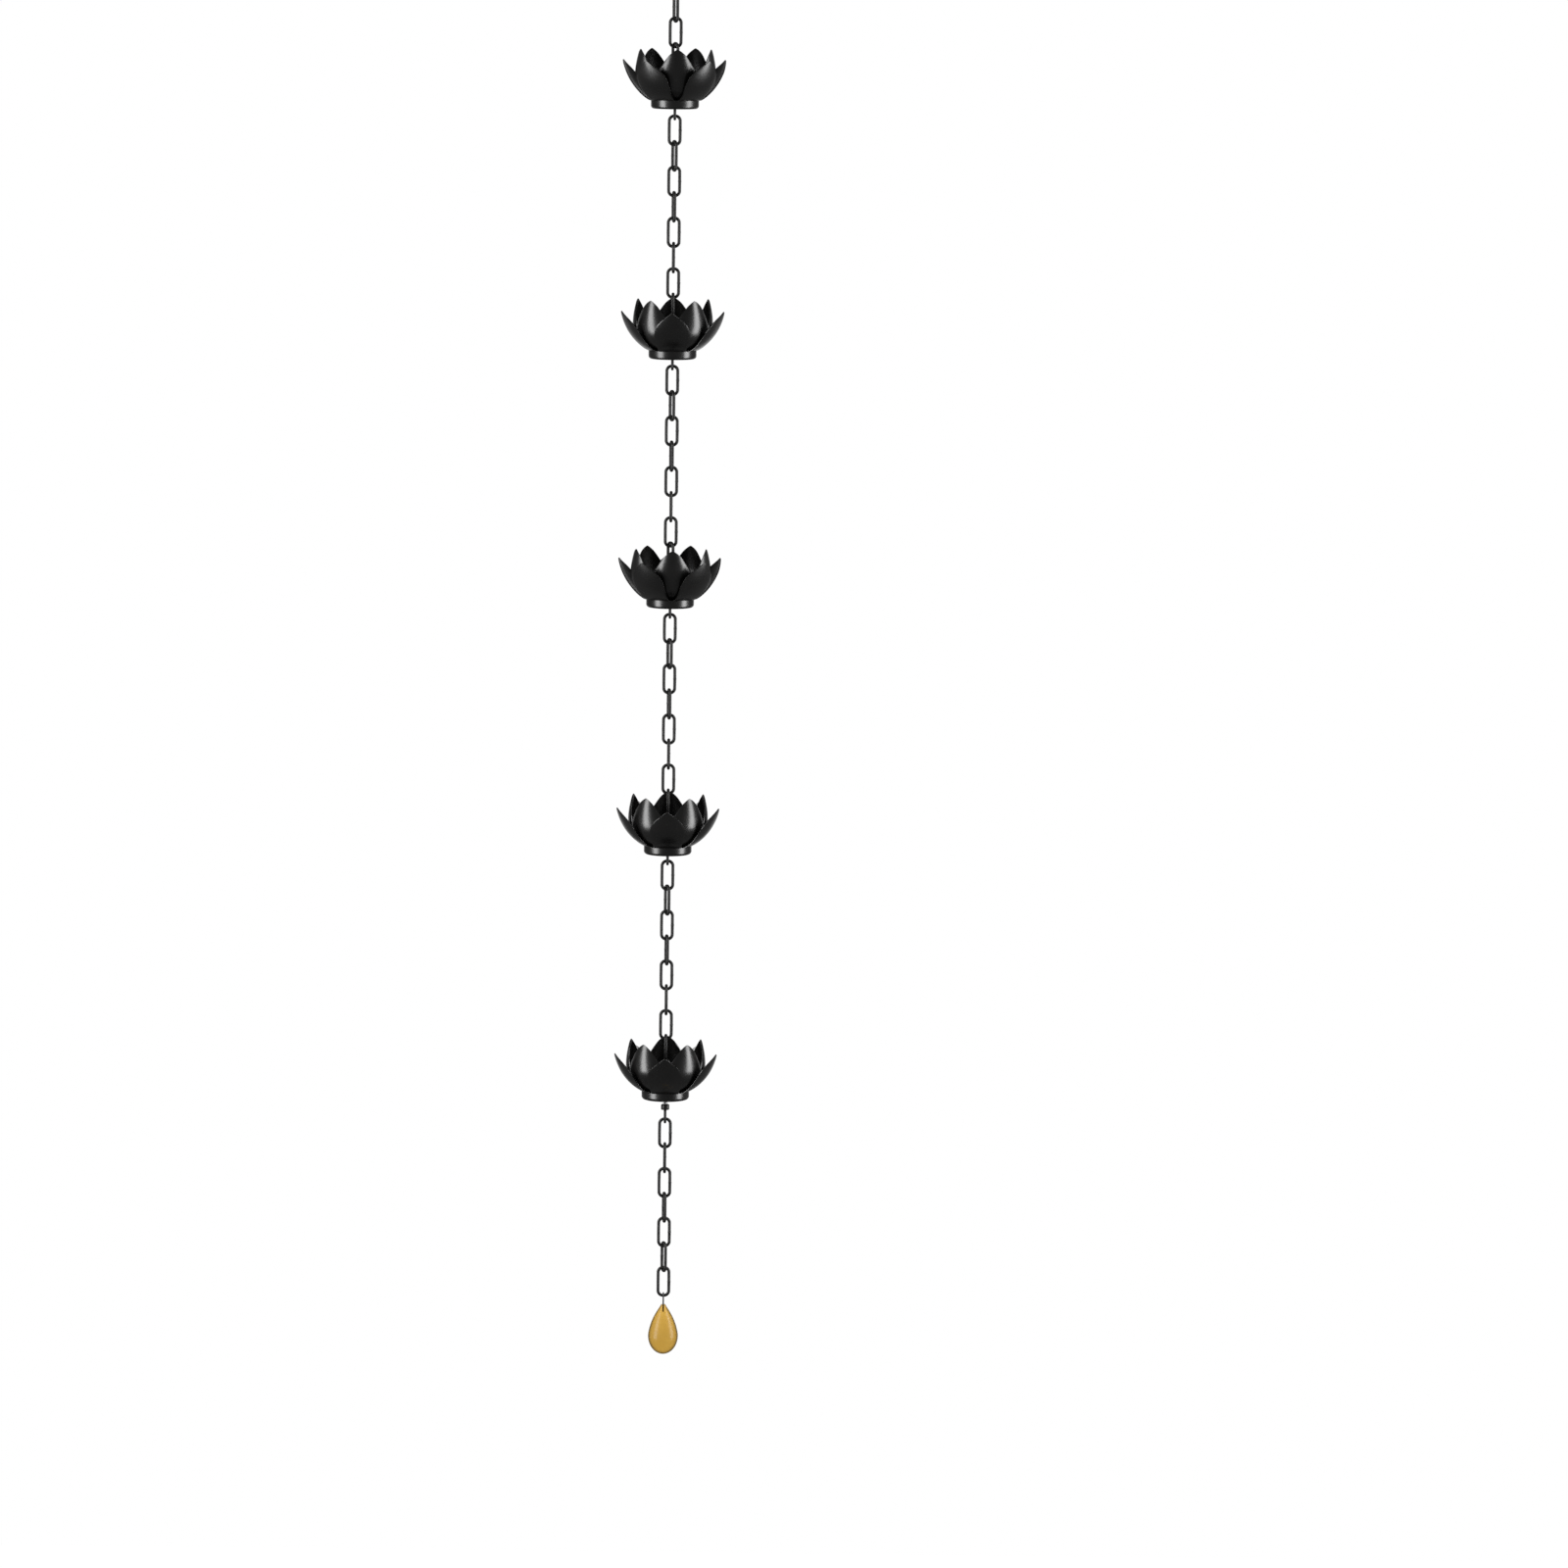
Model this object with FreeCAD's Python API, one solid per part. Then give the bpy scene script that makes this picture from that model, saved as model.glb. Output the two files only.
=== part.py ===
# A rain chain: oval links, five lotus cups and a glass drop, each hung on the one above.
# Millimetres, +Z up. The origin is where the gutter hook bears, under the crown of the top link.
import FreeCAD, Part
import math
import os

# Chain links: ovals of round wire with a short straight seat at each end
link_length = 34.8
link_width = 15.4
link_wire = 3.4
seat = 1.0

# Gap left between two wires that hook into each other
hook_play = 0.25

# Each run of chain, down to the next cup or to the drop. A front link faces the viewer. The links
# between stand edge-on, turned away from square by these angles in degrees. The top run starts
# with an edge-on link and every other run with a front link.
top_run = (20, None, 28)
square_run = (None, 20, None, 10, None, 0, None, 0)
turned_run = (None, 20, None, 10, None, 0, None, 28)
last_run = (None, 0, None, 10, None, 20, None)

# Cups: a spread petal faces the viewer, on the -Y side, before each cup's own turn in degrees
cup_front = -90
cup_turns = (40, 0, 40, 0, 0)
petal_count = 5
sheet = 1.0
offset_tolerance = 0.01

# Spread petals. A cup's own zero height is the top of its collar, which is their floor's top.
spread_floor_radius = 26.3
# How far the roots of the petals lap over the floor's edge
spread_root_lap = 3.4
spread_bends = ((8.3, 28), (59.1, 34), (117.5, 10))
# Outline from the tip down: distance along the petal, half width, radius of the hollow across it
spread_outline = (
    (0.0, 1.0, 21.0),
    (3.1, 4.2, 25.0),
    (6.8, 8.3, 31.0),
    (10.9, 12.5, 39.5),
    (16.6, 16.6, 48.0),
    (25.0, 19.2, 52.0),
    (37.4, 18.7, 62.5),
    (47.8, 16.4, 93.5),
    (56.2, 15.0, 166.0),
    (59.6, 14.6, 208.0),
)

# Collar under the spread petals: a band whose lower edge rolls inward
collar_depth = 9.5
collar_wall = 1.0
collar_curl = 3.5

# Bowl petals: taller and hollower, closing in towards their tips
bowl_floor_radius = 17.7
bowl_root_lap = 2.6
bowl_root_height = 0.3
bowl_bends = ((29.6, 90), (83.2, 18))
bowl_outline = (
    (0.0, 1.0, 16.6),
    (2.1, 4.2, 17.7),
    (5.2, 8.3, 18.7),
    (9.4, 11.9, 20.3),
    (13.5, 14.8, 22.9),
    (17.7, 17.5, 25.5),
    (21.8, 20.2, 28.1),
    (28.1, 22.7, 31.2),
    (33.3, 23.4, 33.3),
    (46.8, 21.8, 38.5),
    (57.2, 18.3, 47.8),
    (66.6, 13.3, 83.2),
    (72.7, 9.4, 166.4),
)

# Drain holes through both floors
drain_count = 5
drain_hole = 5.0
# From the middles of the drain holes to the edge of the bowl's floor
drain_edge = 6.2

# Hanger: an eye bolt through both floors, clamped by a nut, with an eye nut on its lower end
eye_wire = 3.0
eye_width = 11.0
eye_length = 16.8
eye_height = 33.5
boss = 9.2
boss_height = 6.0
boss_chamfer = 0.8
rod = 5.0
rod_clearance = 0.2
rod_entry = 3.0
nut_flats = 8.0
nut_height = 4.0
# Rod left bare between the floor and the eye nut, for each cup
bare_rod = (0.0, 0.0, 0.0, 0.0, 14.5)

# Glass drop and the wire that carries it
drop_wire = 1.6
drop_loop_width = 7.2
drop_loop_length = 13.0
drop_gap = 0.55
stem_depth = 9.0
stem_clearance = 0.1
drop_tip_radius = 2.2
drop_height = 55.6
# Side of the drop from the tip down: depth and radius
drop_side = ((7.5, 6.1), (16.0, 10.7), (25.5, 14.3), (35.3, 16.6), (44.5, 14.6), (51.0, 9.5))

up = FreeCAD.Vector(0, 0, 1)
across = FreeCAD.Vector(1, 0, 0)
centre = FreeCAD.Vector(0, 0, 0)


def turned(shape, degrees):
    """A copy turned about the chain's line."""
    result = shape.copy()
    result.rotate(centre, up, degrees)
    return result


def lifted(shape, height):
    """A copy moved up to a height."""
    result = shape.copy()
    result.translate(up * height)
    return result


def ring_of(shape, count):
    """Copies spaced evenly about the chain's line."""
    return [turned(shape, 360 / count * index) for index in range(count)]


def oval(length, width, wire):
    """A closed oval of round wire, standing in the XZ plane about the origin."""
    bend = (width - wire - seat) / 2
    rise = (length - wire) / 2 - bend
    points = []
    for quarter, side, end in ((0, 1, 1), (1, -1, 1), (2, -1, -1), (3, 1, -1)):
        middle = FreeCAD.Vector(side * seat / 2, 0, end * rise)
        for step in range(3):
            angle = math.pi / 2 * (quarter + step / 2)
            reach = FreeCAD.Vector(math.cos(angle), 0, math.sin(angle))
            points.append(middle + reach * bend)
    edges = []
    for first in range(0, 12, 3):
        edges.append(Part.Arc(*points[first:first + 3]).toShape())
        edges.append(Part.makeLine(points[first + 2], points[(first + 3) % 12]))
    section = Part.Wire(Part.makeCircle(wire / 2, points[0], up))
    return Part.Wire(edges).makePipeShell([section], True, False)


def point_along(start, bends, distance):
    """Radius, height and heading at a distance along a line that starts level and bends up."""
    radius, height = start
    heading = 0
    for bend_radius, degrees in bends:
        turn = min(math.radians(degrees), distance / bend_radius)
        radius += bend_radius * (math.sin(heading + turn) - math.sin(heading))
        height += bend_radius * (math.cos(heading) - math.cos(heading + turn))
        heading += turn
        distance -= bend_radius * turn
    return radius, height, heading


def petal(start, bends, outline):
    """A hollow petal along the X side: its outer face lofted from root to tip, then thickened."""
    length = outline[-1][0]
    arcs = []
    for depth, half_width, hollow in reversed(outline):
        radius, height, heading = point_along(start, bends, length - depth)
        spread = math.asin(half_width / hollow)
        points = []
        for angle in (-spread, 0, spread):
            inward = hollow * (1 - math.cos(angle))
            points.append(FreeCAD.Vector(
                radius - inward * math.sin(heading),
                hollow * math.sin(angle),
                height + inward * math.cos(heading),
            ))
        arcs.append(Part.Wire(Part.Arc(*points).toShape()))
    outer_face = Part.makeLoft(arcs, False, False)
    return outer_face.makeOffsetShape(-sheet, offset_tolerance, fill=True)


def floor_holes():
    """The rod's hole and the ring of drain holes, deep enough for both floors."""
    start = up * -2 * sheet
    depth = 4 * sheet
    rod_hole = Part.makeCylinder(rod / 2 + rod_clearance, depth, start)
    place = start + across * (bowl_floor_radius - drain_edge)
    drain = Part.makeCylinder(drain_hole / 2, depth, place)
    return [rod_hole] + ring_of(drain, drain_count)


def collar():
    """The band under the spread petals, turned from its cross-section."""
    curl_height = collar_curl - collar_depth
    slant = math.sqrt(0.5)
    curl_centre = FreeCAD.Vector(spread_floor_radius - collar_curl, 0, curl_height)
    inner_curl = collar_curl - collar_wall
    outer_edge = FreeCAD.Vector(spread_floor_radius, 0, 0)
    inner_edge = FreeCAD.Vector(spread_floor_radius - collar_wall, 0, 0)
    outer_side = curl_centre + across * collar_curl
    inner_side = curl_centre + across * inner_curl
    diagonal = across * slant - up * slant
    section = Part.Wire([
        Part.makeLine(outer_edge, outer_side),
        Part.Arc(
            outer_side, curl_centre + diagonal * collar_curl, curl_centre - up * collar_curl
        ).toShape(),
        Part.makeLine(curl_centre - up * collar_curl, curl_centre - up * inner_curl),
        Part.Arc(
            curl_centre - up * inner_curl, curl_centre + diagonal * inner_curl, inner_side
        ).toShape(),
        Part.makeLine(inner_side, inner_edge),
        Part.makeLine(inner_edge, outer_edge),
    ])
    return Part.Face(section).revolve(centre, up, 360)


def spread_petals():
    """The outer flower: floor, collar and five spread petals in one piece."""
    floor = Part.makeCylinder(spread_floor_radius, sheet, up * -sheet)
    root = (spread_floor_radius - spread_root_lap, -sheet)
    leaf = petal(root, spread_bends, spread_outline)
    flower = floor.multiFuse([collar()] + ring_of(leaf, petal_count))
    return flower.cut(floor_holes()).removeSplitter().Solids[0]


def bowl_petals():
    """The inner flower: floor and five upright petals in one piece."""
    floor = Part.makeCylinder(bowl_floor_radius, sheet)
    root = (bowl_floor_radius - bowl_root_lap, bowl_root_height)
    leaf = petal(root, bowl_bends, bowl_outline)
    flower = floor.multiFuse(ring_of(leaf, petal_count))
    return flower.cut(floor_holes()).removeSplitter().Solids[0]


def chamfered(shape, width):
    """The two round end edges of a turned piece, chamfered."""
    ends = [edge for edge in shape.Edges if edge.isClosed() and len(edge.Vertexes) == 1]
    return shape.makeChamfer(width, ends)


def nut(base):
    """A hexagon nut with turned-off corners, standing on a height."""
    flats = Part.makeCylinder(nut_flats / 2, nut_height)
    corner = nut_flats / 2 / math.cos(math.pi / 6)
    points = [
        FreeCAD.Vector(corner * math.cos(math.pi / 3 * i), corner * math.sin(math.pi / 3 * i), 0)
        for i in range(7)
    ]
    prism = Part.Face(Part.makePolygon(points)).extrude(up * nut_height)
    blank = chamfered(Part.makeCylinder(corner, nut_height), corner - nut_flats / 2)
    return lifted(prism.common(blank).fuse(flats).removeSplitter(), base)


def eye(top):
    """A wire eye on a round boss, its upper wire centred at a height."""
    drop = eye_length - eye_wire
    loop = lifted(oval(eye_length, eye_width, eye_wire), top - drop / 2)
    base = chamfered(Part.makeCylinder(boss / 2, boss_height), boss_chamfer)
    return loop.fuse(lifted(base, top - drop - boss_height))


def eye_nut(bottom):
    """The same eye upside down and a quarter turn round, its lower wire centred at a height."""
    flipped = eye(0)
    flipped.rotate(centre, across, 180)
    return lifted(turned(flipped, 90), bottom)


def hanger(bare):
    """Eye bolt, clamp nut and eye nut as one piece, with a length of bare rod."""
    rod_top = eye_height - (eye_length - eye_wire) - boss_height + rod_entry
    rod_bottom = -sheet - bare - rod_entry
    parts = [
        Part.makeCylinder(rod / 2, rod_top - rod_bottom, up * rod_bottom),
        nut(sheet),
        eye_nut(lower_eye_height(bare)),
    ]
    if bare:
        parts.append(nut(-sheet - nut_height))
    return eye(eye_height).multiFuse(parts).removeSplitter()


def lower_eye_height(bare):
    """Height of the middle of the eye nut's lower wire, from the top of the collar."""
    return -sheet - bare - boss_height - (eye_length - eye_wire)


def glass_drop():
    """The glass from its tip down, with a bore for the wire's stem."""
    tip = FreeCAD.Vector(drop_tip_radius, 0, 0)
    bottom = up * -drop_height
    side = Part.BSplineCurve()
    points = [tip] + [FreeCAD.Vector(r, 0, -depth) for depth, r in drop_side] + [bottom]
    side.interpolate(Points=points, InitialTangent=across - up, FinalTangent=-across)
    section = Part.Wire([
        Part.makeLine(centre, tip),
        side.toShape(),
        Part.makeLine(bottom, centre),
    ])
    bore = Part.makeCylinder(drop_wire / 2 + stem_clearance, stem_depth, up * -stem_depth)
    return Part.Face(section).revolve(centre, up, 360).cut(bore)


def drop_hook():
    """The wire loop whose upper wire is at height zero, with its stem into the glass."""
    span = drop_loop_length - drop_wire
    loop = lifted(oval(drop_loop_length, drop_loop_width, drop_wire), -span / 2)
    stem_length = drop_wire / 2 + drop_gap + stem_depth
    stem = Part.makeCylinder(drop_wire / 2, stem_length, up * (-span - stem_length))
    return loop.fuse(stem)


# Heights between wires that hook into each other, and from a link's middle to its end wires
link_reach = (link_length - link_wire) / 2
link_step = link_wire + hook_play
eye_step = (link_wire + eye_wire) / 2 + hook_play
drop_step = (link_wire + drop_wire) / 2 + hook_play

os.makedirs("parts", exist_ok=True)
link = oval(link_length, link_width, link_wire)
spread = turned(spread_petals(), cup_front)
bowl = turned(bowl_petals(), cup_front + 180 / petal_count)
runs = (top_run, square_run, turned_run, square_run, square_run, last_run)
link_count = 0
# The line starts as if the top link hung on a wire, so that its crown bears at the origin
hook_height = link_wire / 2
for run_index, run in enumerate(runs):
    for turn in run:
        height = hook_height - link_reach
        link_count += 1
        facing = turned(link, 0 if turn is None else 90 + turn)
        lifted(facing, height).exportStep(f"parts/link_{link_count:02d}.step")
        hook_height = height - link_reach + link_step
    if run_index < len(cup_turns):
        height = hook_height - link_step + eye_step - eye_height
        cup = f"parts/cup_{run_index + 1}"
        for name, flower in (("petals", spread), ("bowl", bowl)):
            lifted(turned(flower, cup_turns[run_index]), height).exportStep(f"{cup}_{name}.step")
        bare = bare_rod[run_index]
        lifted(hanger(bare), height).exportStep(f"{cup}_hanger.step")
        hook_height = height + lower_eye_height(bare) + eye_step

loop_height = hook_height - link_step + drop_step
tip_height = loop_height - (drop_loop_length - drop_wire) - drop_wire / 2 - drop_gap
last_turn = 90
lifted(turned(drop_hook(), last_turn), loop_height).exportStep("parts/drop_wire.step")
lifted(glass_drop(), tip_height).exportStep("parts/glass_drop.step")
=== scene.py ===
# A black rain chain with lotus cups and an amber glass drop, dressed over its frame.
# Pieces are modelled in millimetres and placed in metres, as the frame is.
import math
import bpy
from mathutils import Matrix, Vector


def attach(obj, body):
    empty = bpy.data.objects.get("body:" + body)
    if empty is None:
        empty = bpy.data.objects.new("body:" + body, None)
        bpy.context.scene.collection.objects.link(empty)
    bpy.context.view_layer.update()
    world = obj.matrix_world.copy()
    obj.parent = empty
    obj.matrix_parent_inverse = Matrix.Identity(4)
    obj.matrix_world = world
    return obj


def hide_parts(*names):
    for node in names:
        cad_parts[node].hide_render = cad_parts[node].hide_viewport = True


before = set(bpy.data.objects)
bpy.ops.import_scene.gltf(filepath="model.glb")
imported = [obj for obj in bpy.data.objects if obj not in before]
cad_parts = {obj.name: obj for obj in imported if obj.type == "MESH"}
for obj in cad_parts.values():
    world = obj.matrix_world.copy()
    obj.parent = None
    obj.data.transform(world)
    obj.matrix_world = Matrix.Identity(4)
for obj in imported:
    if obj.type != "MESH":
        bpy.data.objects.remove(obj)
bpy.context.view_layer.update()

# A millimetre in metres, and a length in millimetres that is too small to see
MM = 0.001
TINY = 0.01

# Links: welded ovals of round wire with a short straight seat at each end. PLAY is the gap
# between two hooked wires, and the weld swells the wire this far up and down.
LINK_LENGTH = 34.8
LINK_WIDTH = 15.4
LINK_WIRE = 3.4
SEAT = 1.0
PLAY = 0.25
WELD_REACH = 1.1
WELD_SWELL = 1.1

# Sides of a round piece: a ring, its wire, a floor, a turned part, a hole
RING_STEPS = 40
WIRE_STEPS = 20
FLOOR_STEPS = 96
TURNED_STEPS = 48
HOLE_STEPS = 32

# Runs of chain. A number is how far an edge-on link is turned, in degrees; None is a front link.
TOP_RUN = (20, None, 28)
SQUARE_RUN = (None, 20, None, 10, None, 0, None, 0)
TURNED_RUN = (None, 20, None, 10, None, 0, None, 28)
LAST_RUN = (None, 0, None, 10, None, 20, None)
RUNS = (TOP_RUN, SQUARE_RUN, TURNED_RUN, SQUARE_RUN, SQUARE_RUN, LAST_RUN)

# Cups: a spread petal faces the viewer before each cup's own turn in degrees
CUP_FRONT = -90
CUP_TURNS = (40, 0, 40, 0, 0)
PETALS = 5
SHEET = 1.0

# Floors, and how far the petals' roots lap over their edges
SPREAD_FLOOR = 26.3
SPREAD_LAP = 3.4
BOWL_FLOOR = 17.7
BOWL_LAP = 2.6
BOWL_ROOT_HEIGHT = 0.3

# Each petal's middle line bends up through (radius, degrees). Its outline from the tip down is
# (distance along the petal, half width, radius of the hollow across it).
SPREAD_BENDS = ((8.3, 28), (59.1, 34), (117.5, 10))
SPREAD_OUTLINE = (
    (0.0, 0.5, 21.0), (1.2, 2.1, 22.5), (3.1, 4.2, 25.0), (6.8, 8.3, 31.0), (10.9, 12.5, 39.5),
    (16.6, 16.6, 48.0), (25.0, 19.2, 52.0), (37.4, 18.7, 62.5), (47.8, 16.4, 93.5),
    (56.2, 15.0, 166.0), (59.6, 14.6, 208.0),
)
BOWL_BENDS = ((29.6, 90), (83.2, 18))
BOWL_OUTLINE = (
    (0.0, 0.5, 16.6), (0.8, 2.0, 17.0), (2.1, 4.2, 17.7), (5.2, 8.3, 18.7), (9.4, 11.9, 20.3),
    (13.5, 14.8, 22.9), (17.7, 17.5, 25.5), (21.8, 20.2, 28.1), (28.1, 22.7, 31.2),
    (33.3, 23.4, 33.3), (46.8, 21.8, 38.5), (57.2, 18.3, 47.8), (66.6, 13.3, 83.2),
    (72.7, 9.4, 166.4),
)
PETAL_ROWS = 30
PETAL_COLUMNS = 18
# Above 1 the rows crowd towards the tip
TIP_CROWDING = 1.35
RIM_ROUNDING = 0.32

# Collar: a band whose lower edge rolls inward
COLLAR_DEPTH = 9.5
COLLAR_WALL = 1.0
COLLAR_CURL = 3.5
CURL_STEPS = 8

# Drain holes, their ring's distance from the bowl floor's edge, and the depth of a floor cut
DRAINS = 5
DRAIN_HOLE = 5.0
DRAIN_EDGE = 6.2
FLOOR_CUT = 4.0

# Hanger: an eye above, an eye below, their bosses, and the threaded rod with its nuts. An eye's
# drop is from its top wire to its bottom wire, and the upper eye's top wire sets its height.
EYE_WIRE = 3.0
EYE_WIDTH = 11.0
EYE_LENGTH = 16.8
EYE_DROP = EYE_LENGTH - EYE_WIRE
EYE_HEIGHT = 33.5
BOSS = 9.2
BOSS_HEIGHT = 6.0
BOSS_CHAMFER = 0.8
ROD = 5.0
ROD_CLEARANCE = 0.2
ROD_ENTRY = 3.0
THREAD_PITCH = 0.8
THREAD_DEPTH = 0.45
THREAD_STEPS = 20
NUT_FLATS = 8.0
NUT_HEIGHT = 4.0
NUT_CHAMFER = 0.15
# Rod left bare under the floor of each cup
BARE_ROD = (0.0, 0.0, 0.0, 0.0, 14.5)

# Drop: its wire, and its side line as (depth, radius) down to its widest line
DROP_WIRE = 1.6
DROP_LOOP_WIDTH = 7.2
DROP_LOOP_LENGTH = 13.0
DROP_GAP = 0.55
STEM_DEPTH = 9.0
STEM_CLEARANCE = 0.1
DROP_HEIGHT = 55.6
DROP_WIDEST = 35.3
DROP_RADIUS = 16.6
DROP_SHOULDER = (
    (0.0, 2.2), (3.5, 4.3), (7.5, 6.9), (16.0, 11.5), (25.5, 14.9), (DROP_WIDEST, DROP_RADIUS),
    (45.1, 14.9),
)
DROP_AROUND = 64
DROP_RINGS = 44
# Above 1 the rings crowd towards the foot
FOOT_CROWDING = 1.9

# Powder coat: sizes of its patterns per metre, height of its orange peel in metres, and how
# much of the drift in tone counts as dust
DRIFT_SCALE = 38
PEEL_SCALE = 420
PATTERN_DETAIL = 3
PEEL_HEIGHT = 0.00012
DUST_FROM = 0.42
DUST_FULL = 0.78
DUST_MOST = 0.55
ROUGHNESS_DRIFT = 0.12

# Amber glass, in linear colours. Its rim has painted shade, a dark colour that sets in between two
# values of the facing weight
AMBER_ROUGHNESS = 0.28
AMBER_IOR = 1.32
AMBER_SPECULAR = 0.9
CLOUD_SCALE = 45
CLOUD_FROM = 0.3
CLOUD_FULL = 0.7
AMBER_DEEP = (0.51, 0.295, 0.05, 1)
AMBER_PALE = (0.57, 0.35, 0.07, 1)
# Colour of the painted shade at the drop's rim
AMBER_RIM_SHADE = (0.05, 0.032, 0.008, 1)
RIM_SHADE_BLEND = 0.35
RIM_SHADE_FROM = 0.31
RIM_SHADE_FULL = 0.54

# Studio, in metres. In gloss the room is dim and fades to white behind the chain: the world
# between these values of the direction's Y, the floor between these values of its own Y. The
# floor gives off FLOOR_LIFT of light where it is looked at, to be as pale as the world.
WHITE = (1, 1, 1, 1)
ROOM = 0.12
WORLD_FADE = (0.84, 0.97)
FLOOR_FADE = (4.0, 9.0)
FLOOR_SIZE = 14
FLOOR_HEIGHT = -3.2
FLOOR_GREY = (0.86, 0.86, 0.86, 1)
FLOOR_ROUGHNESS = 0.9
FLOOR_SPECULAR = 0.1
FLOOR_LIFT = 0.9

# Softboxes; azimuth 0 is the viewer's side, positive to the right
LEFT_AZIMUTH = -60
RIGHT_AZIMUTH = 74
BOX_DISTANCE = 2.6
BOX_HEIGHT = -0.55
BOX_SIZE = (1.2, 3.4)
BOX_POWER = 95
CHAIN_MIDDLE = -0.75

# Camera, in metres and degrees
LENS = 188.85
SENSOR = 36
PITCH = 6.523
ROLL = 0.652
CAMERA_PLACE = (0.1274, -9.0, 0.1642)


def deselect():
    bpy.ops.object.select_all(action="DESELECT")


def active(obj):
    """Selects this object alone and makes it the active one."""
    deselect()
    obj.select_set(True)
    bpy.context.view_layer.objects.active = obj


def select_where(obj, test):
    """Leaves obj in edit mode with the vertices that pass the test selected."""
    active(obj)
    for part in (obj.data.vertices, obj.data.edges, obj.data.polygons):
        for element in part:
            element.select = False
    for vertex in obj.data.vertices:
        vertex.select = test(vertex.co)
    bpy.ops.object.mode_set(mode="EDIT")
    bpy.ops.mesh.select_mode(type="VERT")


def leave_edit():
    bpy.ops.object.mode_set(mode="OBJECT")


def shift_where(obj, test, move):
    select_where(obj, test)
    bpy.ops.transform.translate(value=move)
    leave_edit()


def swell_where(obj, test, factor, about):
    select_where(obj, test)
    bpy.ops.transform.resize(value=factor, center_override=about)
    leave_edit()


def apply_all(obj):
    """Puts the object's own turn and place into its mesh."""
    active(obj)
    bpy.ops.object.transform_apply(location=True, rotation=True, scale=True)


def apply_modifier(obj, kind, **values):
    """Adds one modifier with these values and applies it."""
    active(obj)
    modifier = obj.modifiers.new(kind.lower(), kind)
    for name, value in values.items():
        setattr(modifier, name, value)
    bpy.ops.object.modifier_apply(modifier=modifier.name)


def soften(obj, width, sharper_than):
    """Rounds the edges that turn by more than this many degrees."""
    apply_modifier(
        obj, "BEVEL", width=width, segments=2, limit_method="ANGLE",
        angle_limit=math.radians(sharper_than),
    )


def cut(obj, cutter, operation="DIFFERENCE"):
    """Takes the cutter from obj, or keeps what they share, and deletes the cutter."""
    apply_modifier(obj, "BOOLEAN", operation=operation, object=cutter, solver="EXACT")
    bpy.data.objects.remove(cutter)


def joined(objects):
    """One object from several."""
    deselect()
    for obj in objects:
        obj.select_set(True)
    bpy.context.view_layer.objects.active = objects[0]
    bpy.ops.object.join()
    return bpy.context.view_layer.objects.active


def turned_copy(obj, degrees):
    """A copy with its own mesh, turned about the chain's line."""
    copy = obj.copy()
    copy.data = obj.data.copy()
    bpy.context.scene.collection.objects.link(copy)
    copy.data.transform(Matrix.Rotation(math.radians(degrees), 4, "Z"))
    return copy


def smooth(obj, softer_than):
    """Shades smoothly over the edges that turn by less than this many degrees."""
    active(obj)
    bpy.ops.object.shade_smooth_by_angle(angle=math.radians(softer_than))


def disc(radius, low, high, around):
    """An upright cylinder on the chain's line, between two heights."""
    bpy.ops.mesh.primitive_cylinder_add(
        vertices=around, radius=radius, depth=high - low, location=(0, 0, (low + high) / 2),
    )
    made = bpy.context.object
    apply_all(made)
    return made


def step_rim(scale, rise):
    """Carries the selected rim on by one step, drawn in or out by the scale."""
    bpy.ops.mesh.extrude_region_move(TRANSFORM_OT_translate={"value": (0, 0, rise)})
    bpy.ops.transform.resize(value=(scale, scale, 1), center_override=(0, 0, 0))


def oval(length, width, wire, welded=False):
    """A closed oval of round wire in the XZ plane: a ring whose ends are drawn apart."""
    bend = (width - wire - SEAT) / 2
    rise = (length - wire) / 2 - bend
    bpy.ops.mesh.primitive_torus_add(
        major_segments=RING_STEPS, minor_segments=WIRE_STEPS, major_radius=bend,
        minor_radius=wire / 2, rotation=(math.pi / 2, 0, 0),
    )
    ring = bpy.context.object
    apply_all(ring)
    for side in (1, -1):
        shift_where(ring, lambda p: p.z * side > TINY, (0, 0, side * rise))
        shift_where(ring, lambda p: p.x * side > TINY, (side * SEAT / 2, 0, 0))
    if welded:
        swell_weld(ring, bend + SEAT / 2)
    smooth(ring, softer_than=60)
    return ring


def swell_weld(ring, side):
    """Swells the middle of a link's one straight side a little, where it was welded shut."""
    for height in (-WELD_REACH, -WELD_REACH / 2, WELD_REACH / 2, WELD_REACH):
        select_where(ring, lambda p: True)
        bpy.ops.mesh.bisect(plane_co=(0, 0, height), plane_no=(0, 0, 1))
        leave_edit()
    reach = WELD_REACH / 2 + TINY
    swell_where(
        ring, lambda p: p.x > 0 and abs(p.z) < reach, (WELD_SWELL, WELD_SWELL, 1), (side, 0, 0),
    )


def eased(outline, depth):
    """The outline's values at a depth, on smooth curves through its rows."""
    last = len(outline) - 1
    index = max(i for i in range(last) if outline[i][0] <= depth + 1e-9)
    low, high = outline[index], outline[index + 1]
    before, after = outline[max(index - 1, 0)], outline[min(index + 2, last)]
    span = high[0] - low[0]
    t = (depth - low[0]) / span
    values = []
    for k in range(1, len(low)):
        slope_low = (high[k] - before[k]) / (high[0] - before[0]) * span
        slope_high = (after[k] - low[k]) / (after[0] - low[0]) * span
        values.append(
            (2 * t ** 3 - 3 * t ** 2 + 1) * low[k] + (t ** 3 - 2 * t ** 2 + t) * slope_low
            + (3 * t ** 2 - 2 * t ** 3) * high[k] + (t ** 3 - t ** 2) * slope_high
        )
    return values


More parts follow.
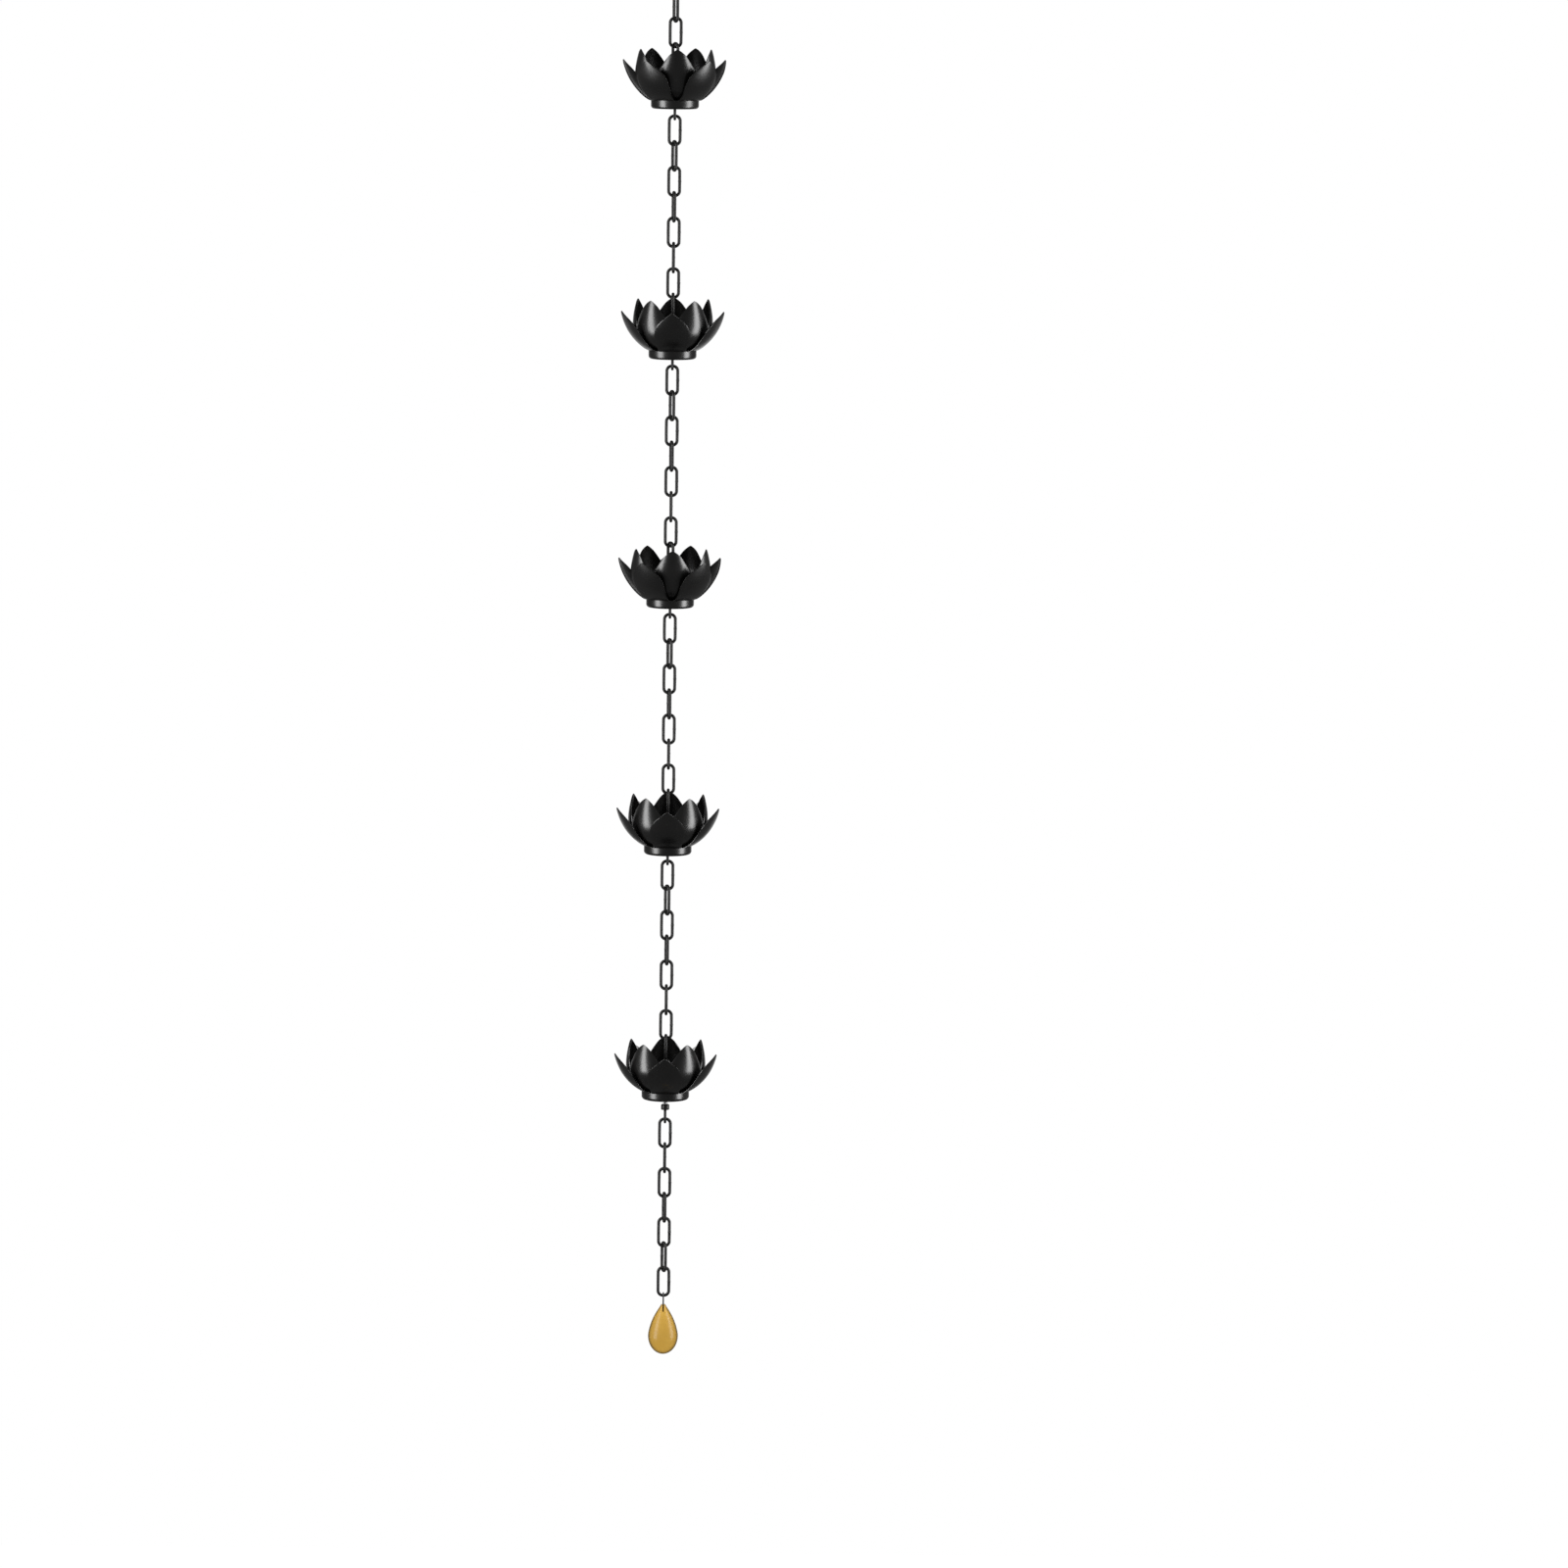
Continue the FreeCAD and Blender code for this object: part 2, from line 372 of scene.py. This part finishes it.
def point_along(start, bends, distance):
    """Radius, height and heading on the petal's middle line, which starts level and bends up."""
    radius, height = start
    heading = 0
    for bend_radius, degrees in bends:
        turn = min(math.radians(degrees), distance / bend_radius)
        radius += bend_radius * (math.sin(heading + turn) - math.sin(heading))
        height += bend_radius * (math.cos(heading) - math.cos(heading + turn))
        heading += turn
        distance -= bend_radius * turn
    return radius, height, heading


def petal(start, bends, outline):
    """A hollow petal along the X side, with its thickness and rounded rims."""
    bpy.ops.mesh.primitive_grid_add(
        x_subdivisions=PETAL_COLUMNS, y_subdivisions=PETAL_ROWS, size=2,
    )
    leaf = bpy.context.object
    length = outline[-1][0]
    for vertex in leaf.data.vertices:
        side, along = vertex.co.x, (1 - vertex.co.y) / 2
        depth = length * along ** TIP_CROWDING
        half_width, hollow = eased(outline, depth)
        radius, height, heading = point_along(start, bends, length - depth)
        angle = math.asin(half_width / hollow) * side
        inward = hollow * (1 - math.cos(angle))
        vertex.co = (
            radius - inward * math.sin(heading),
            hollow * math.sin(angle),
            height + inward * math.cos(heading),
        )
    select_where(leaf, lambda p: True)
    bpy.ops.mesh.normals_make_consistent(inside=False)
    leave_edit()
    root = min(leaf.data.polygons, key=lambda face: face.center.x)
    if root.normal.z > 0:
        leaf.data.flip_normals()
    apply_modifier(leaf, "SOLIDIFY", thickness=SHEET, offset=-1, use_even_offset=True)
    soften(leaf, RIM_ROUNDING, sharper_than=50)
    smooth(leaf, softer_than=60)
    return leaf


def round_hole(floor, diameter, x, y):
    """Cuts a round hole straight down through a floor."""
    bpy.ops.mesh.primitive_cylinder_add(
        vertices=HOLE_STEPS, radius=diameter / 2, depth=FLOOR_CUT, location=(x, y, 0),
    )
    cutter = bpy.context.object
    apply_all(cutter)
    cut(floor, cutter)


def drilled(floor):
    """The rod's hole and the ring of drain holes."""
    ring = BOWL_FLOOR - DRAIN_EDGE
    round_hole(floor, ROD + 2 * ROD_CLEARANCE, 0, 0)
    for index in range(DRAINS):
        angle = 2 * math.pi / DRAINS * index
        round_hole(floor, DRAIN_HOLE, ring * math.cos(angle), ring * math.sin(angle))
    return floor


def collar():
    """Floor and collar: a disc whose underside is drawn down into a band with a rolled edge."""
    blank = disc(SPREAD_FLOOR, -SHEET, 0, FLOOR_STEPS)
    curl_top = COLLAR_CURL - COLLAR_DEPTH
    curl_middle = SPREAD_FLOOR - COLLAR_CURL
    inner_curl = COLLAR_CURL - COLLAR_WALL
    turns = [math.pi / 2 * step / CURL_STEPS for step in range(CURL_STEPS + 1)]
    path = [
        (curl_middle + COLLAR_CURL * math.cos(turn), curl_top - COLLAR_CURL * math.sin(turn))
        for turn in turns
    ]
    path += [
        (curl_middle + inner_curl * math.cos(turn), curl_top - inner_curl * math.sin(turn))
        for turn in reversed(turns)
    ]
    path.append((SPREAD_FLOOR - COLLAR_WALL, -SHEET))
    select_where(blank, lambda p: p.z < -SHEET + TINY)
    radius, height = SPREAD_FLOOR, -SHEET
    for next_radius, next_height in path:
        step_rim(next_radius / radius, next_height - height)
        radius, height = next_radius, next_height
    leave_edit()
    smooth(blank, softer_than=40)
    return blank


def flower(floor, start, bends, outline):
    """Five petals round their drilled floor."""
    leaf = petal(start, bends, outline)
    leaves = [turned_copy(leaf, 360 / PETALS * index) for index in range(PETALS)]
    bpy.data.objects.remove(leaf)
    return joined([drilled(floor)] + leaves)


def boss(low, high):
    """A turned round boss with chamfered ends."""
    made = disc(BOSS / 2, low, high, TURNED_STEPS)
    soften(made, BOSS_CHAMFER, sharper_than=60)
    smooth(made, softer_than=30)
    return made


def nut(low):
    """A hexagon nut with turned-off corners."""
    corner = NUT_FLATS / 2 / math.cos(math.pi / 6)
    made = disc(corner, low, low + NUT_HEIGHT, around=6)
    turning = disc(corner, low, low + NUT_HEIGHT, TURNED_STEPS)
    soften(turning, corner - NUT_FLATS / 2 + NUT_CHAMFER, sharper_than=60)
    cut(made, turning, operation="INTERSECT")
    smooth(made, softer_than=20)
    return made


def threaded_rod(low, high):
    """A rod with a real screw thread, closed at both ends."""
    crest, root = ROD / 2, ROD / 2 - THREAD_DEPTH
    flat = THREAD_PITCH / 8
    profile = [
        (root, 0, 0), (root, 0, flat), (crest, 0, THREAD_PITCH / 2 - flat / 2),
        (crest, 0, THREAD_PITCH / 2 + flat / 2), (root, 0, THREAD_PITCH),
    ]
    mesh = bpy.data.meshes.new("thread")
    mesh.from_pydata(profile, [(i, i + 1) for i in range(len(profile) - 1)], [])
    rod = bpy.data.objects.new("thread", mesh)
    bpy.context.scene.collection.objects.link(rod)
    rod.location = (0, 0, low)
    apply_all(rod)
    apply_modifier(
        rod, "SCREW", angle=2 * math.pi, screw_offset=THREAD_PITCH,
        iterations=round((high - low) / THREAD_PITCH), steps=THREAD_STEPS,
        render_steps=THREAD_STEPS, use_merge_vertices=True, merge_threshold=TINY,
    )
    select_where(rod, lambda p: True)
    bpy.ops.mesh.remove_doubles(threshold=TINY)
    bpy.ops.mesh.select_all(action="DESELECT")
    bpy.ops.mesh.select_non_manifold()
    bpy.ops.mesh.edge_face_add()
    bpy.ops.mesh.select_all(action="SELECT")
    bpy.ops.mesh.normals_make_consistent(inside=False)
    leave_edit()
    smooth(rod, softer_than=30)
    return rod


def lower_eye_height(bare):
    """Height of the wire at the bottom of the lower eye, over the cup's floor."""
    return -SHEET - bare - BOSS_HEIGHT - EYE_DROP


def eye(low, degrees):
    """An eye whose bottom wire is at this height, turned about the chain's line."""
    made = oval(EYE_LENGTH, EYE_WIDTH, EYE_WIRE)
    made.rotation_euler = (0, 0, math.radians(degrees))
    made.location = (0, 0, low + EYE_DROP / 2)
    apply_all(made)
    return made


def hanger(bare):
    """Both eyes with their bosses, and the nuts that clamp the floors."""
    upper = EYE_HEIGHT - EYE_DROP
    lower = lower_eye_height(bare)
    lower_top = lower + EYE_DROP
    parts = [
        eye(upper, 0),
        eye(lower, 90),
        boss(upper - BOSS_HEIGHT, upper),
        boss(lower_top, lower_top + BOSS_HEIGHT),
        nut(SHEET),
    ]
    if bare:
        parts.append(nut(-SHEET - NUT_HEIGHT))
    return joined(parts)


def hanger_rod(bare):
    """The rod from inside the lower boss up into the upper one."""
    return threaded_rod(
        -SHEET - bare - ROD_ENTRY, EYE_HEIGHT - EYE_DROP - BOSS_HEIGHT + ROD_ENTRY,
    )


def drop_radius(depth):
    """Radius of the drop at a depth: a smooth shoulder to its widest line, then half an ellipse."""
    if depth > DROP_WIDEST:
        below = (depth - DROP_WIDEST) / (DROP_HEIGHT - DROP_WIDEST)
        return DROP_RADIUS * math.sqrt(1 - below ** 2)
    return eased(DROP_SHOULDER, depth)[0]


def lathed_drop():
    """The drop turned from its side line, from its flat tip down to its closed foot."""
    tip = DROP_SHOULDER[0][1]
    made = disc(tip, -TINY, 0, DROP_AROUND)
    select_where(made, lambda p: p.z < -TINY / 2)
    radius, depth = tip, TINY
    for index in range(1, DROP_RINGS):
        next_depth = DROP_HEIGHT * (1 - (1 - index / DROP_RINGS) ** FOOT_CROWDING)
        next_radius = drop_radius(next_depth)
        step_rim(next_radius / radius, depth - next_depth)
        radius, depth = next_radius, next_depth
    foot = {"value": (0, 0, depth - DROP_HEIGHT)}
    bpy.ops.mesh.extrude_region_move(TRANSFORM_OT_translate=foot)
    bpy.ops.mesh.merge(type="CENTER")
    leave_edit()
    return made


def glass():
    """The drop with the bore that its wire is glued into."""
    made = lathed_drop()
    bpy.ops.mesh.primitive_cylinder_add(
        vertices=HOLE_STEPS, radius=DROP_WIRE / 2 + STEM_CLEARANCE, depth=2 * STEM_DEPTH,
    )
    cut(made, bpy.context.object)
    smooth(made, softer_than=40)
    return made


def drop_hook():
    """The wire of the drop: a closed loop with a stem that goes into the glass."""
    span = DROP_LOOP_LENGTH - DROP_WIRE
    loop = oval(DROP_LOOP_LENGTH, DROP_LOOP_WIDTH, DROP_WIRE)
    loop.location = (0, 0, -span / 2)
    apply_all(loop)
    stem_end = -span - DROP_WIRE / 2 - DROP_GAP - STEM_DEPTH
    stem = disc(DROP_WIRE / 2, stem_end, -span, WIRE_STEPS)
    smooth(stem, softer_than=40)
    made = joined([loop, stem])
    made.data.transform(Matrix.Rotation(math.pi / 2, 4, "Z"))
    return made


def node(tree, kind, place, inputs=None, **values):
    """Adds a shader node with these settings and these values on its inputs."""
    made = tree.nodes.new(kind)
    made.location = place
    for name, value in values.items():
        setattr(made, name, value)
    for name, value in (inputs or {}).items():
        made.inputs[name].default_value = value
    return made


def coat_group():
    """Powder coat: fine orange peel, broad tone drift and a little dust, on object coordinates."""
    group = bpy.data.node_groups.new("powder_coat", "ShaderNodeTree")
    for name, kind in (
        ("Tone", "NodeSocketColor"), ("Dust", "NodeSocketColor"),
        ("Roughness", "NodeSocketFloat"), ("Peel", "NodeSocketFloat"),
    ):
        group.interface.new_socket(name, in_out="INPUT", socket_type=kind)
    for name, kind in (
        ("Color", "NodeSocketColor"), ("Roughness", "NodeSocketFloat"),
        ("Normal", "NodeSocketVector"),
    ):
        group.interface.new_socket(name, in_out="OUTPUT", socket_type=kind)
    enter = node(group, "NodeGroupInput", (-900, 0))
    leave = node(group, "NodeGroupOutput", (700, 0))
    place = node(group, "ShaderNodeTexCoord", (-900, 300))
    drift = node(
        group, "ShaderNodeTexNoise", (-600, 300),
        {"Scale": DRIFT_SCALE, "Detail": PATTERN_DETAIL},
    )
    grain = node(
        group, "ShaderNodeTexNoise", (-600, 0), {"Scale": PEEL_SCALE, "Detail": PATTERN_DETAIL},
    )
    mask = node(
        group, "ShaderNodeMapRange", (-350, 300),
        {"From Min": DUST_FROM, "From Max": DUST_FULL, "To Max": DUST_MOST},
    )
    mix = node(group, "ShaderNodeMix", (-50, 250), data_type="RGBA")
    add = node(
        group, "ShaderNodeMath", (-50, 0), {1: ROUGHNESS_DRIFT}, operation="MULTIPLY_ADD",
    )
    bump = node(group, "ShaderNodeBump", (300, -200), {"Distance": PEEL_HEIGHT})
    link = group.links.new
    link(place.outputs["Object"], drift.inputs["Vector"])
    link(place.outputs["Object"], grain.inputs["Vector"])
    link(drift.outputs["Fac"], mask.inputs["Value"])
    link(mask.outputs["Result"], mix.inputs["Factor"])
    link(enter.outputs["Tone"], mix.inputs["A"])
    link(enter.outputs["Dust"], mix.inputs["B"])
    link(drift.outputs["Fac"], add.inputs[0])
    link(enter.outputs["Roughness"], add.inputs[2])
    link(grain.outputs["Fac"], bump.inputs["Height"])
    link(enter.outputs["Peel"], bump.inputs["Strength"])
    link(mix.outputs["Result"], leave.inputs["Color"])
    link(add.outputs["Value"], leave.inputs["Roughness"])
    link(bump.outputs["Normal"], leave.inputs["Normal"])
    return group


def new_material(name):
    """A material with its node tree and its shader."""
    material = bpy.data.materials.new(name)
    material.use_nodes = True
    tree = material.node_tree
    return material, tree, tree.nodes["Principled BSDF"]


def coated(name, tone, dust, roughness, peel, metallic=0.0, specular=0.5):
    """A material whose colour, roughness and relief come from the powder coat's group."""
    material, tree, shader = new_material(name)
    finish = node(
        tree, "ShaderNodeGroup", (-300, 200),
        {"Tone": (*tone, 1), "Dust": (*dust, 1), "Roughness": roughness, "Peel": peel},
        node_tree=coat,
    )
    shader.inputs["Metallic"].default_value = metallic
    shader.inputs["Specular IOR Level"].default_value = specular
    tree.links.new(finish.outputs["Color"], shader.inputs["Base Color"])
    tree.links.new(finish.outputs["Roughness"], shader.inputs["Roughness"])
    tree.links.new(finish.outputs["Normal"], shader.inputs["Normal"])
    return material


def amber():
    """Amber glass, a little cloudy inside, with painted shade at its rim: its colour goes dark
    where the surface turns edge-on.
    """
    material, tree, shader = new_material("amber_glass")
    place = node(tree, "ShaderNodeTexCoord", (-1000, 0))
    drift = node(tree, "ShaderNodeTexNoise", (-800, 0), {"Scale": CLOUD_SCALE})
    ramp = node(tree, "ShaderNodeValToRGB", (-600, 0))
    deep, pale = ramp.color_ramp.elements
    deep.position = CLOUD_FROM
    deep.color = AMBER_DEEP
    pale.position = CLOUD_FULL
    pale.color = AMBER_PALE
    # Painted shade: the facing weight darkens the glass colour towards its rim
    facing = node(tree, "ShaderNodeLayerWeight", (-800, 300), {"Blend": RIM_SHADE_BLEND})
    rim_shade_mask = node(
        tree, "ShaderNodeMapRange", (-600, 300), {"From Min": RIM_SHADE_FROM, "From Max": RIM_SHADE_FULL},
    )
    rim_shade_mix = node(tree, "ShaderNodeMix", (-250, 100), data_type="RGBA")
    rim_shade_mix.inputs["B"].default_value = AMBER_RIM_SHADE
    link = tree.links.new
    link(place.outputs["Object"], drift.inputs["Vector"])
    link(drift.outputs["Fac"], ramp.inputs["Fac"])
    link(ramp.outputs["Color"], rim_shade_mix.inputs["A"])
    link(facing.outputs["Facing"], rim_shade_mask.inputs["Value"])
    link(rim_shade_mask.outputs["Result"], rim_shade_mix.inputs["Factor"])
    link(rim_shade_mix.outputs["Result"], shader.inputs["Base Color"])
    shader.inputs["Roughness"].default_value = AMBER_ROUGHNESS
    shader.inputs["IOR"].default_value = AMBER_IOR
    shader.inputs["Specular IOR Level"].default_value = AMBER_SPECULAR
    shader.inputs["Transmission Weight"].default_value = 1.0
    return material


coat = coat_group()
petal_black = coated(
    "satin_black", tone=(0.0025, 0.0024, 0.0023), dust=(0.006, 0.0054, 0.0047),
    roughness=0.22, peel=0.04, specular=0.8,
)
link_black = coated(
    "link_black", tone=(0.009, 0.009, 0.009), dust=(0.018, 0.017, 0.015),
    roughness=0.34, peel=0.03, specular=0.4,
)
hanger_black = coated(
    "hanger_black", tone=(0.005, 0.005, 0.005), dust=(0.011, 0.010, 0.009),
    roughness=0.32, peel=0.03, specular=0.4,
)
zinc = coated(
    "bright_thread", tone=(0.5, 0.5, 0.51), dust=(0.36, 0.35, 0.33),
    roughness=0.25, peel=0.08, metallic=1.0,
)
wire_metal = coated(
    "drawn_wire", tone=(0.045, 0.045, 0.047), dust=(0.03, 0.029, 0.028),
    roughness=0.3, peel=0.05, metallic=1.0,
)
amber_glass = amber()

bare_lengths = sorted(set(BARE_ROD))
link_master = oval(LINK_LENGTH, LINK_WIDTH, LINK_WIRE, welded=True)
spread_master = flower(
    collar(), (SPREAD_FLOOR - SPREAD_LAP, -SHEET), SPREAD_BENDS, SPREAD_OUTLINE,
)
bowl_master = flower(
    disc(BOWL_FLOOR, 0, SHEET, FLOOR_STEPS), (BOWL_FLOOR - BOWL_LAP, BOWL_ROOT_HEIGHT),
    BOWL_BENDS, BOWL_OUTLINE,
)
hanger_masters = {bare: hanger(bare) for bare in bare_lengths}
rod_masters = {bare: hanger_rod(bare) for bare in bare_lengths}
hook_master = drop_hook()
glass_master = glass()


def set_piece(master, name, body, replaced, material, height, degrees=0.0):
    """Puts a copy of a master in its place in the frame and gives it its finish."""
    piece = turned_copy(master, degrees)
    piece.name = name
    piece.data.name = name
    piece.data.transform(Matrix.Scale(MM, 4) @ Matrix.Translation((0, 0, height)))
    piece.data.materials.clear()
    piece.data.materials.append(material)
    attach(piece, body)
    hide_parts(replaced)


def hook_step(wire_above, wire):
    """From the middle of one wire up to the middle of the wire that hangs over it, with play."""
    return (wire_above + wire) / 2 + PLAY


def hang_link(number, turn, crown):
    """Sets one link with its top wire at this height and returns its bottom wire's height."""
    reach = (LINK_LENGTH - LINK_WIRE) / 2
    height = crown - reach
    name = f"link_{number:02d}"
    degrees = 0 if turn is None else 90 + turn
    set_piece(
        link_master, f"{name}_wire", name, name, link_black, height, degrees,
    )
    return height - reach


def hang_cup(index, crown):
    """Sets one cup with its eye's top wire at this height; returns its lowest wire's height."""
    cup = f"cup_{index + 1}"
    height = crown - EYE_HEIGHT
    facing = CUP_FRONT + CUP_TURNS[index]
    bare = BARE_ROD[index]
    set_piece(
        spread_master, f"{cup}_spread_flower", cup, f"{cup}_petals",
        petal_black, height, facing,
    )
    set_piece(
        bowl_master, f"{cup}_bowl_flower", cup, f"{cup}_bowl",
        petal_black, height, facing + 180 / PETALS,
    )
    set_piece(
        hanger_masters[bare], f"{cup}_eyes_and_nuts", cup, f"{cup}_hanger",
        hanger_black, height,
    )
    set_piece(
        rod_masters[bare], f"{cup}_threaded_rod", cup, f"{cup}_hanger",
        zinc if bare else hanger_black, height,
    )
    return height + lower_eye_height(bare)


def hang_drop(crown):
    """Sets the drop's wire with its top at this height, and the glass under it."""
    tip = crown - (DROP_LOOP_LENGTH - DROP_WIRE) - DROP_WIRE / 2 - DROP_GAP
    set_piece(hook_master, "drop_hook", "drop", "drop_wire", wire_metal, crown)
    set_piece(glass_master, "amber_drop", "drop", "glass_drop", amber_glass, tip)


def hang_chain():
    """Hangs every piece on the wire of the piece above, from the gutter's hook down."""
    crown = LINK_WIRE / 2
    number = 0
    for index, run in enumerate(RUNS):
        for turn in run:
            number += 1
            seat = hang_link(number, turn, crown)
            crown = seat + hook_step(LINK_WIRE, LINK_WIRE)
        if index < len(CUP_TURNS):
            seat = hang_cup(index, seat + hook_step(LINK_WIRE, EYE_WIRE))
            crown = seat + hook_step(EYE_WIRE, LINK_WIRE)
    hang_drop(seat + hook_step(LINK_WIRE, DROP_WIRE))


def studio_masks(tree, depth, fade):
    """How white the studio is this far back, the rays that see it so, and the mirrored rays."""
    start, full = fade
    behind = node(
        tree, "ShaderNodeMapRange", (-900, 0), {"From Min": start, "From Max": full},
    )
    path = node(tree, "ShaderNodeLightPath", (-900, 300))
    mirrored = node(tree, "ShaderNodeMath", (-700, 200), operation="SUBTRACT", use_clamp=True)
    straight = node(tree, "ShaderNodeMath", (-500, 400), operation="MAXIMUM")
    shared = node(tree, "ShaderNodeMath", (-500, 200), operation="MULTIPLY")
    seen = node(tree, "ShaderNodeMath", (-300, 300), operation="MAXIMUM")
    link = tree.links.new
    link(depth, behind.inputs["Value"])
    link(path.outputs["Is Glossy Ray"], mirrored.inputs[0])
    link(path.outputs["Is Transmission Ray"], mirrored.inputs[1])
    link(path.outputs["Is Camera Ray"], straight.inputs[0])
    link(path.outputs["Is Transmission Ray"], straight.inputs[1])
    link(mirrored.outputs["Value"], shared.inputs[0])
    link(behind.outputs["Result"], shared.inputs[1])
    link(straight.outputs["Value"], seen.inputs[0])
    link(shared.outputs["Value"], seen.inputs[1])
    return behind.outputs["Result"], seen.outputs["Value"], mirrored.outputs["Value"]


def studio_world():
    """White where it is looked at, also through glass, and in gloss only behind the chain."""
    world = bpy.data.worlds.new("studio")
    bpy.context.scene.world = world
    world.use_nodes = True
    tree = world.node_tree
    background = tree.nodes["Background"]
    background.inputs["Color"].default_value = WHITE
    place = node(tree, "ShaderNodeTexCoord", (-1300, 0))
    split = node(tree, "ShaderNodeSeparateXYZ", (-1100, 0))
    strength = node(tree, "ShaderNodeMapRange", (-100, 0), {"To Min": ROOM})
    tree.links.new(place.outputs["Generated"], split.inputs["Vector"])
    seen = studio_masks(tree, split.outputs["Y"], WORLD_FADE)[1]
    tree.links.new(seen, strength.inputs["Value"])
    tree.links.new(strength.outputs["Result"], background.inputs["Strength"])


def studio_floor():
    """The pale ground under the chain. Gloss sees it as dim as the room, and whiter behind."""
    bpy.ops.mesh.primitive_plane_add(size=FLOOR_SIZE, location=(0, 0, FLOOR_HEIGHT))
    ground = bpy.context.object
    ground.name = "studio_floor"
    material, tree, shader = new_material("pale_floor")
    shader.inputs["Base Color"].default_value = FLOOR_GREY
    shader.inputs["Roughness"].default_value = FLOOR_ROUGHNESS
    shader.inputs["Specular IOR Level"].default_value = FLOOR_SPECULAR
    shader.inputs["Emission Color"].default_value = WHITE
    place = node(tree, "ShaderNodeTexCoord", (-1300, 0))
    split = node(tree, "ShaderNodeSeparateXYZ", (-1100, 0))
    lift = node(
        tree, "ShaderNodeMath", (-250, -300), {1: FLOOR_LIFT}, operation="MULTIPLY",
    )
    strength = node(tree, "ShaderNodeMapRange", (-500, -100), {"To Min": ROOM})
    in_gloss = node(tree, "ShaderNodeEmission", (0, -500))
    mix = node(tree, "ShaderNodeMixShader", (300, 0))
    link = tree.links.new
    link(place.outputs["Object"], split.inputs["Vector"])
    behind, seen, mirrored = studio_masks(tree, split.outputs["Y"], FLOOR_FADE)
    link(seen, lift.inputs[0])
    link(lift.outputs["Value"], shader.inputs["Emission Strength"])
    link(behind, strength.inputs["Value"])
    link(strength.outputs["Result"], in_gloss.inputs["Strength"])
    link(mirrored, mix.inputs["Fac"])
    link(shader.outputs["BSDF"], mix.inputs[1])
    link(in_gloss.outputs["Emission"], mix.inputs[2])
    link(mix.outputs["Shader"], tree.nodes["Material Output"].inputs["Surface"])
    ground.data.materials.append(material)


def softbox(name, azimuth):
    """A tall strip light aimed at the chain's middle, hidden from the camera and in glass."""
    data = bpy.data.lights.new(name, "AREA")
    data.shape = "RECTANGLE"
    data.size, data.size_y = BOX_SIZE
    data.energy = BOX_POWER
    lamp = bpy.data.objects.new(name, data)
    bpy.context.scene.collection.objects.link(lamp)
    angle = math.radians(azimuth)
    lamp.location = (BOX_DISTANCE * math.sin(angle), -BOX_DISTANCE * math.cos(angle), BOX_HEIGHT)
    aim = Vector((0, 0, CHAIN_MIDDLE)) - lamp.location
    lamp.rotation_euler = aim.to_track_quat("-Z", "Y").to_euler()
    lamp.visible_transmission = False
    lamp.visible_camera = False


def aim_camera():
    """The photograph's view: a long lens a little above the chain, tilted down and rolled."""
    data = bpy.data.cameras.new("camera")
    data.lens = LENS
    data.sensor_width = SENSOR
    camera = bpy.data.objects.new("camera", data)
    bpy.context.scene.collection.objects.link(camera)
    pitch = Matrix.Rotation(math.radians(90 - PITCH), 4, "X")
    roll = Matrix.Rotation(math.radians(ROLL), 4, "Z")
    camera.matrix_world = Matrix.Translation(CAMERA_PLACE) @ pitch @ roll
    bpy.context.scene.camera = camera


hang_chain()
masters = [link_master, spread_master, bowl_master, hook_master, glass_master]
masters += list(hanger_masters.values()) + list(rod_masters.values())
for master in masters:
    bpy.data.objects.remove(master)

studio_world()
studio_floor()
softbox("left_softbox", LEFT_AZIMUTH)
softbox("right_softbox", RIGHT_AZIMUTH)
aim_camera()
bpy.context.scene.view_settings.view_transform = "Standard"
